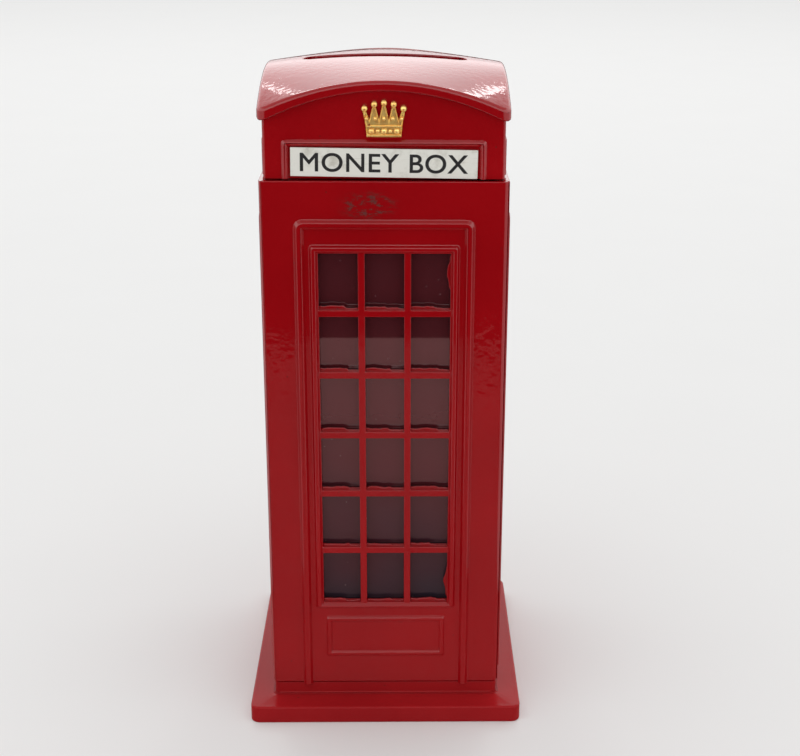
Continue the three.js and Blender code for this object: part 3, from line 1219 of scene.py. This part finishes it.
@dataclass
class Roof:
    """The domed casting, its signs and its coronets."""

    finishes: Finishes
    wording: str = "MONEY BOX"
    letter_height: float = 3.8 * MM
    line_length: float = 33.4 * MM
    letter_relief: float = 0.06 * MM
    letter_spacing: float = 1.06
    letter_extrude: float = 0.2
    letter_bevel: float = 0.011
    tilt: float = 0.013
    rounding: float = 0.12 * MM
    brim_round: float = 0.65 * MM
    lip_round: float = 0.4 * MM
    tip_lap: float = 0.5 * MM
    brim_steps: int = 5
    plan_round: float = 2.0 * MM
    slot_round: float = 0.3 * MM
    half: float = 25.1 * MM
    foot: float = 121.8 * MM
    crest: float = 143.1 * MM
    shell: float = 2.0 * MM
    side_drop: float = 1.8 * MM
    corner_drop: float = 7.9 * MM
    fineness: int = 72
    slot: tuple[float, float] = (34.4 * MM, 4.4 * MM)
    slot_deep: float = 6.0 * MM
    slot_slices: int = 8
    slice_step: float = 2.0 * MM
    eaves: float = 9.0 * MM
    lintel_corner: float = 0.6 * MM
    lintel_slices: int = 10
    setback: float = 1.0 * MM
    wall: float = 1.9 * MM
    sign_half: float = 18.6 * MM
    sign_top: float = 127.95 * MM
    pocket: float = 0.35 * MM
    pocket_play: float = 0.45 * MM
    rim: Band = Band(0.35 * MM, 0.5 * MM, 0.5 * MM, 0.8 * MM)
    rim_below: float = 5.0 * MM
    boss: tuple[float, float] = (3.0 * MM, 12.0 * MM)
    boss_hole: float = 7.5 * MM

    def height(self, x: float, y: float) -> float:
        """Height of the dome's outer surface above a point in plan."""
        bend = self.side_drop / self.half**2
        twist = (self.corner_drop - 2 * self.side_drop) / self.half**4
        return self.crest - bend * (x * x + y * y) - twist * x * x * y * y

    def plan(self, x: float, y: float) -> tuple[float, float, float]:
        """Spreads a point of a square grid over the rounded plan of the dome.

        Args:
            x: the grid's place to the right.
            y: the grid's place to the back.

        Returns:
            The place to the right, the place to the back and the distance to the brim.
        """
        ring = max(abs(x), abs(y))
        if ring == 0:
            return 0.0, 0.0, self.half
        cell = 2 * self.half / self.fineness
        rank = (self.half - ring) / cell
        if rank < self.brim_steps:
            distance = self.brim_round * (1 - math.cos(math.pi / 2 * rank / self.brim_steps))
        else:
            inner = self.half - self.brim_steps * cell
            distance = self.half - (self.half - self.brim_round) * ring / inner
        reach = self.half - distance
        radius = max(0.0, self.plan_round - distance)
        straight = reach - radius
        along = min(abs(x), abs(y)) / ring * (straight + radius * math.pi / 4)
        turn = max(0.0, along - straight) / radius if radius > 0 else 0.0
        far = straight + radius * math.cos(turn)
        near = min(along, straight) + radius * math.sin(turn)
        across, back = (far, near) if abs(x) >= abs(y) else (near, far)
        return math.copysign(across, x), math.copysign(back, y), distance

    @staticmethod
    def roll(radius: float, distance: float) -> float:
        """How far a rounded edge of a radius has fallen at a distance from its rim."""
        inset = max(0.0, radius - distance)
        return radius - math.sqrt(radius * radius - inset * inset)

    def dome(self) -> Shape:
        """The domed shell with its coin slot."""
        bm = bmesh.new()
        steps = self.fineness
        bmesh.ops.create_grid(bm, x_segments=steps, y_segments=steps, size=self.half)
        upper = bm.verts[:]
        lower = extrude(bm, bm.faces[:])
        under = set(lower)
        for vert in upper + lower:
            x, y, distance = self.plan(vert.co.x, vert.co.y)
            fall = self.roll(self.brim_round, distance)
            if vert in under:
                lap = (x * y / self.half**2) ** 2
                fall = self.shell + self.tip_lap * lap - self.roll(self.lip_round, distance)
            vert.co = (x, y, self.height(x, y) - fall)
        bmesh.ops.recalc_face_normals(bm, faces=bm.faces)
        length, width = self.slot
        round_end = width * HALF_ROUND
        corner = (-length / 2, -width / 2, -self.slot_deep)
        deep = block(corner, (length / 2, width / 2, MM), round_end)
        flare = self.slot_round
        mouth = block(
            (-length / 2 - flare, -width / 2 - flare, -flare),
            (length / 2 + flare, width / 2 + flare, MM),
            round_end + flare,
        )
        foot = [v for v in mouth.verts if v.co.z < 0]
        shrink = (length / (length + 2 * flare), width / (width + 2 * flare), 1)
        bmesh.ops.scale(mouth, verts=foot, vec=shrink)
        for cutter in (deep, mouth):
            for step in range(-self.slot_slices, self.slot_slices + 1):
                slice_at(cutter, (step * self.slice_step, 0, 0), (1, 0, 0))
            for vert in cutter.verts:
                vert.co.z += self.height(vert.co.x, 0)
        return carve(bm, "DIFFERENCE", deep, mouth)

    def lintel(self) -> Shape:
        """The square wall under the dome, with a shallow pocket for each sign."""
        face = self.half - self.setback
        inner = face - self.wall
        top = self.crest - self.eaves
        outer = block((-face, -face, self.foot), (face, face, top), self.lintel_corner)
        for step in range(1 - self.lintel_slices, self.lintel_slices):
            place = step * face / self.lintel_slices
            slice_at(outer, (place, 0, 0), (1, 0, 0))
            slice_at(outer, (0, place, 0), (0, 1, 0))
        for vert in outer.verts:
            if vert.co.z > self.foot + MM:
                vert.co.z = self.height(vert.co.x, vert.co.y) - self.shell / 2
        hollow = block((-inner, -inner, self.foot - MM), (inner, inner, self.crest + MM))
        bm = carve(outer, "DIFFERENCE", hollow)
        reach, top = self.sign_half + self.pocket_play, self.sign_top + self.pocket_play
        for side in Side:
            pocket = block((-reach, -face - MM, self.foot - MM), (reach, self.pocket - face, top))
            bmesh.ops.transform(pocket, matrix=side.turn, verts=pocket.verts)
            bm = carve(bm, "DIFFERENCE", pocket)
        return bm

    def casting(self) -> None:
        """The dome, lintel, sign rims and screw bosses."""
        bm = carve(self.dome(), "UNION", self.lintel())
        rim = self.sign_half + self.pocket_play + self.rim.slope
        head = self.sign_top + self.pocket_play + self.rim.slope
        base = self.foot - self.rim_below
        frame = self.rim.frame(-rim, base, rim, head, self.half - self.setback)
        trim(frame, (0, 0, self.foot), (0, 0, -1))
        place, foot = SCREW_PLACE, self.foot
        radius, height = self.boss
        boss = carve(
            rod(radius, place, -place, foot, foot + height, 24),
            "DIFFERENCE",
            rod(SCREW_HOLE, place, -place, foot - MM, foot + self.boss_hole, 16),
        )
        for side in Side:
            merge_in(bm, frame, side.turn)
            merge_in(bm, boss, side.turn)
        finish_mesh(
            bm,
            "roof_casting",
            self.finishes.roof_enamel,
            replaces=["roof"],
            rounding=self.rounding,
        )

    def letters(self, side: Side, face: float, centre: float) -> None:
        """The sign's letters, printed slightly proud.

        Args:
            side: which side.
            face: distance of the sign's face from the middle of the box.
            centre: height of the sign's middle.
        """
        curve = bpy.data.curves.new(f"wording_{side.label}", "FONT")
        curve.body = self.wording
        curve.align_x = "CENTER"
        curve.space_character = self.letter_spacing
        curve.extrude = self.letter_extrude
        curve.bevel_depth = self.letter_bevel
        curve.bevel_resolution = 0
        lettering = add_object("lettering", curve)
        graph = bpy.context.evaluated_depsgraph_get()
        shaped = bpy.data.meshes.new_from_object(lettering.evaluated_get(graph))
        bpy.data.objects.remove(lettering)
        bm = bmesh.new()
        bm.from_mesh(shaped)
        bmesh.ops.remove_doubles(bm, verts=bm.verts, dist=1e-5)
        low = Vector([min(v.co[i] for v in bm.verts) for i in range(3)])
        high = Vector([max(v.co[i] for v in bm.verts) for i in range(3)])
        size = high - low
        bmesh.ops.translate(bm, verts=bm.verts, vec=-(low + high) / 2)
        wanted = (self.line_length, self.letter_height, self.letter_relief)
        scale = [length / found for length, found in zip(wanted, size)]
        bmesh.ops.scale(bm, verts=bm.verts, vec=scale)
        lean = self.tilt if side is Side.FRONT else 0.0
        matrix = (
            side.turn
            @ Matrix.Translation((0, -face, centre))
            @ Matrix.Rotation(lean, 4, "Y")
            @ Matrix.Rotation(math.radians(90), 4, "X")
        )
        bmesh.ops.transform(bm, matrix=matrix, verts=bm.verts)
        piece = finish_mesh(bm, f"wording_{side.label}", self.finishes.ink)
        for face_ in piece.data.polygons:
            face_.use_smooth = False

    def build(self) -> None:
        """Makes the roof's pieces."""
        self.casting()
        low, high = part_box("sign_back")
        for side in Side:
            bm = node_mesh(f"sign_{side.label}")
            finish_mesh(
                bm,
                f"sign_face_{side.label}",
                self.finishes.card,
                replaces=[f"sign_{side.label}"],
                rounding=0.08 * MM,
            )
            self.letters(side, high.y, (low.z + high.z) / 2)
            Coronet(self.finishes).build(side)


# ---- Plinth ----


@dataclass
class Plinth:
    """The foot casting, the stopper and the screws."""

    finishes: Finishes
    corners: tuple[str, ...] = ("front_right", "back_right", "back_left", "front_left")
    slab_half: float = 30.0 * MM
    slab_height: float = 3.9 * MM
    slab_corner: float = 2.0 * MM
    riser_half: float = 24.8 * MM
    riser_top: float = 7.2 * MM
    riser_wall: float = 2.5 * MM
    recess: float = 2.2 * MM
    rim: float = 3.5 * MM
    coin_hole: float = 16.5 * MM
    upper_round: float = 0.45 * MM
    lower_round: float = 0.25 * MM
    wall_base: float = 0.6 * MM
    slope_inset: float = 0.9 * MM
    slope_sunk: float = 0.05 * MM
    slope_play: float = 0.3 * MM
    slope_rise: float = 0.42 * MM
    slope_corner: float = 1.2 * MM
    fillet: tuple[tuple[float, float], ...] = (
        (0.75, 0.30),
        (0.35, 0.42),
        (0.12, 0.62),
        (-0.05, 1.0),
    )
    fillet_sunk: float = 0.02 * MM
    fillet_corner: float = 1.1 * MM

    def well(self) -> Shape:
        """The room inside the riser's walls."""
        inner = self.riser_half - self.riser_wall
        foot = self.slab_height + self.wall_base
        return block((-inner, -inner, foot), (inner, inner, self.riser_top + MM))

    def casting(self) -> Shape:
        """Slab with a sloping top, a filleted riser, and a recessed underside with its holes."""
        slab, riser, top = self.slab_half, self.riser_half, self.slab_height
        bm = block((-slab, -slab, 0), (slab, slab, top), self.slab_corner)
        brim = [e for e in bm.edges if not is_upright(e)]
        upper = [e for e in brim if e.verts[0].co.z > top / 2]
        round_edges(bm, upper, self.upper_round, 5)
        lower = [e for e in brim if e.is_valid and e.verts[0].co.z < top / 2]
        round_edges(bm, lower, self.lower_round, 5)
        wall = carve(
            block((-riser, -riser, top - MM), (riser, riser, self.riser_top), MM),
            "DIFFERENCE",
            self.well(),
        )
        slope = frustum(
            slab - self.slope_inset,
            top - self.slope_sunk,
            riser + self.slope_play,
            top + self.slope_rise,
            self.slope_corner,
        )
        bm = carve(bm, "UNION", slope)
        for (out, low), (back, high) in zip(self.fillet, self.fillet[1:]):
            wide, base = riser + out * MM, top + low * MM - self.fillet_sunk
            narrow, head = riser + back * MM, top + high * MM
            bm = carve(bm, "UNION", frustum(wide, base, narrow, head, self.fillet_corner))
        bm = carve(bm, "DIFFERENCE", self.well())
        bm = carve(bm, "UNION", wall)
        reach = slab - self.rim
        tools = [
            block((-reach, -reach, -MM), (reach, reach, self.recess), self.slab_corner),
            rod(self.coin_hole, 0, 0, -MM, self.riser_top + MM, 96),
        ]
        for side in Side:
            hole = rod(SCREW_HOLE, SCREW_PLACE, -SCREW_PLACE, -MM, self.riser_top + MM, 24)
            bmesh.ops.transform(hole, matrix=side.turn, verts=hole.verts)
            tools.append(hole)
        return carve(bm, "DIFFERENCE", *tools)

    def build(self) -> None:
        """Makes the plinth's pieces."""
        finish_mesh(
            self.casting(),
            "plinth_casting",
            self.finishes.foot_enamel,
            replaces=["plinth"],
            rounding=0.13 * MM,
        )
        finish_mesh(
            node_mesh("stopper"),
            "push_in_stopper",
            self.finishes.plastic,
            body=STOPPER,
            replaces=["stopper"],
            rounding=0.25 * MM,
        )
        for corner in self.corners:
            for kind in ("roof_screw", "base_screw"):
                node = f"{kind}_{corner}"
                finish_mesh(
                    node_mesh(node),
                    f"plated_{node}",
                    self.finishes.plated,
                    replaces=[node],
                    rounding=0.1 * MM,
                )


# ---- Studio ----


@dataclass
class Studio:
    """Pale sheet, soft lights, sky and camera."""

    camera_at: tuple[float, float, float] = (3.38 * MM, -309.66 * MM, 184.26 * MM)
    yaw: float = math.radians(-1.308)
    pitch: float = math.radians(19.287)
    roll: float = math.radians(0.476)
    lens: float = 65.49
    shift: tuple[float, float] = (-0.0405, -0.0265)
    floor_reach: float = 5.0
    near_sheet: float = -0.285
    near_side: float = 0.08
    # Painted light and shade: the near floor seen only in reflections is pinker than the paper and
    # darker in green and blue. This stands in for the shade and tint of the floor before the box as
    # it shows in the gloss.
    painted_gloss_floor: Colour = (0.90, 0.50, 0.48, 1)
    backdrop: float = 0.86
    fill: float = 0.65
    ceiling_light: float = 1.0
    ceiling_angle: float = 80.0
    window_at: Place = (0.36, 1.15, 1.12)
    window_size: tuple[float, float] = (0.3, 0.22)
    window_watts: float = 1.25
    aim_height: float = 0.07
    glare: float = 2.05
    upper: float = 0.75
    horizon: float = 1.15
    beside: float = 1.0
    beside_from: tuple[float, float] = (0.12, 0.4)
    horizon_from: tuple[float, float] = (-0.015, 0.01)
    glare_from: tuple[float, float] = (0.08, 0.2)
    upper_from: tuple[float, float] = (0.56, 0.74)
    low_front: Colour = (0.012, 0.004, 0.004, 1)

    def sheet(self, name: str, front: float, side: float, finish: Paper) -> bpy.types.Object:
        """A flat sheet on the ground.

        Args:
            name: its name.
            front: its front edge.
            side: half its width.
            finish: its finish.

        Returns:
            The sheet.
        """
        bm = bmesh.new()
        bmesh.ops.create_grid(bm, x_segments=1, y_segments=1, size=1)
        reach = self.floor_reach
        middle, deep = (front + reach) / 2, (reach - front) / 2
        matrix = Matrix.Translation((0, middle, 0)) @ Matrix.Diagonal((side, deep, 1, 1))
        bmesh.ops.transform(bm, matrix=matrix, verts=bm.verts)
        made = add_object(name, to_mesh(bm, name))
        made.data.materials.append(finish.build())
        return made

    def floor(self) -> None:
        """The pale sheet, and a near part of it that only the gloss sees, whose pinkish colour is
        painted light.
        """
        seen = self.sheet("floor", -self.floor_reach, self.floor_reach, Paper())
        seen.visible_glossy = False
        # Painted light: this sheet's colour stands in for the floor's shade and tint in the gloss.
        paper = Paper("near_paper_painted_light", self.painted_gloss_floor)
        near = self.sheet("floor_in_gloss", self.near_sheet, self.near_side, paper)
        near.visible_camera = False
        near.visible_diffuse = False
        near.visible_shadow = False

    def light(self, name: str, at: tuple, size: tuple[float, float], watts: float) -> None:
        """An oblong soft light aimed at the box.

        Args:
            name: the light's name.
            at: where it hangs.
            size: its width and height.
            watts: its power.
        """
        lamp = bpy.data.lights.new(name, "AREA")
        lamp.shape = "RECTANGLE"
        lamp.size, lamp.size_y = size
        lamp.energy = watts
        holder = add_object(name, lamp)
        holder.location = at
        aim = Vector((0, 0, self.aim_height)) - Vector(at)
        holder.rotation_euler = aim.to_track_quat("-Z", "Y").to_euler()

    def ceiling(self) -> None:
        """Even, very soft light from straight above, which leaves no reflection."""
        lamp = bpy.data.lights.new("ceiling", "SUN")
        lamp.energy = self.ceiling_light
        lamp.angle = math.radians(self.ceiling_angle)
        add_object("ceiling", lamp).visible_glossy = False

    @staticmethod
    def grey(level: float) -> Colour:
        """A neutral colour."""
        return (level, level, level, 1)

    def surroundings(self) -> None:
        """A pale room; gloss sees a glare above the horizon and a dim ground before the box."""
        world = bpy.data.worlds.new("room")
        bpy.context.scene.world = world
        world.use_nodes = True
        g = Graph(world.node_tree)
        way = g.out(g.node("ShaderNodeTexCoord"), "Generated")
        right, _, height = g.axes(way)
        rays = g.node("ShaderNodeLightPath")
        aside = g.step(right * right, *self.beside_from)
        ground = g.mix(aside, self.low_front, self.grey(self.beside))
        low = g.mix(g.step(height, *self.horizon_from), ground, self.grey(self.horizon))
        band = g.mix(g.step(height, *self.glare_from), low, self.grey(self.glare))
        glossy = g.mix(g.step(height, *self.upper_from), band, self.grey(self.upper))
        fill = g.mix(g.out(rays, "Is Glossy Ray"), self.grey(self.fill), glossy)
        tone = g.mix(g.out(rays, "Is Camera Ray"), fill, self.grey(self.backdrop))
        glow = g.node("ShaderNodeBackground", None, {"Color": tone, "Strength": 1.0})
        g.node("ShaderNodeOutputWorld", None, {0: g.out(glow)})

    def camera(self) -> None:
        """The camera, a little above the roof and looking down."""
        lens = bpy.data.cameras.new("camera")
        lens.lens = self.lens
        lens.sensor_width = 36
        lens.shift_x, lens.shift_y = self.shift
        lens.clip_start = 0.01
        holder = add_object("camera", lens)
        holder.matrix_world = (
            Matrix.Translation(self.camera_at)
            @ Matrix.Rotation(self.yaw, 4, "Z")
            @ Matrix.Rotation(math.pi / 2 - self.pitch, 4, "X")
            @ Matrix.Rotation(self.roll, 4, "Z")
        )
        bpy.context.scene.camera = holder

    def build(self) -> None:
        """Sets the studio up."""
        bpy.context.scene.view_settings.view_transform = "Standard"
        self.floor()
        self.ceiling()
        right, back, height = self.window_at
        for name, place in (("window_left", -right), ("window_right", right)):
            self.light(name, (place, back, height), self.window_size, self.window_watts)
        self.surroundings()
        self.camera()


def main() -> None:
    """Builds the looks round the frame."""
    logging.basicConfig(level=logging.INFO, format="%(message)s")
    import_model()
    finishes = Finishes()
    for assembly in (Body(finishes), Roof(finishes), Plinth(finishes)):
        log.info("building %s", type(assembly).__name__)
        assembly.build()
    Studio().build()
    bpy.context.view_layer.update()


if __name__ == "__main__":
    main()
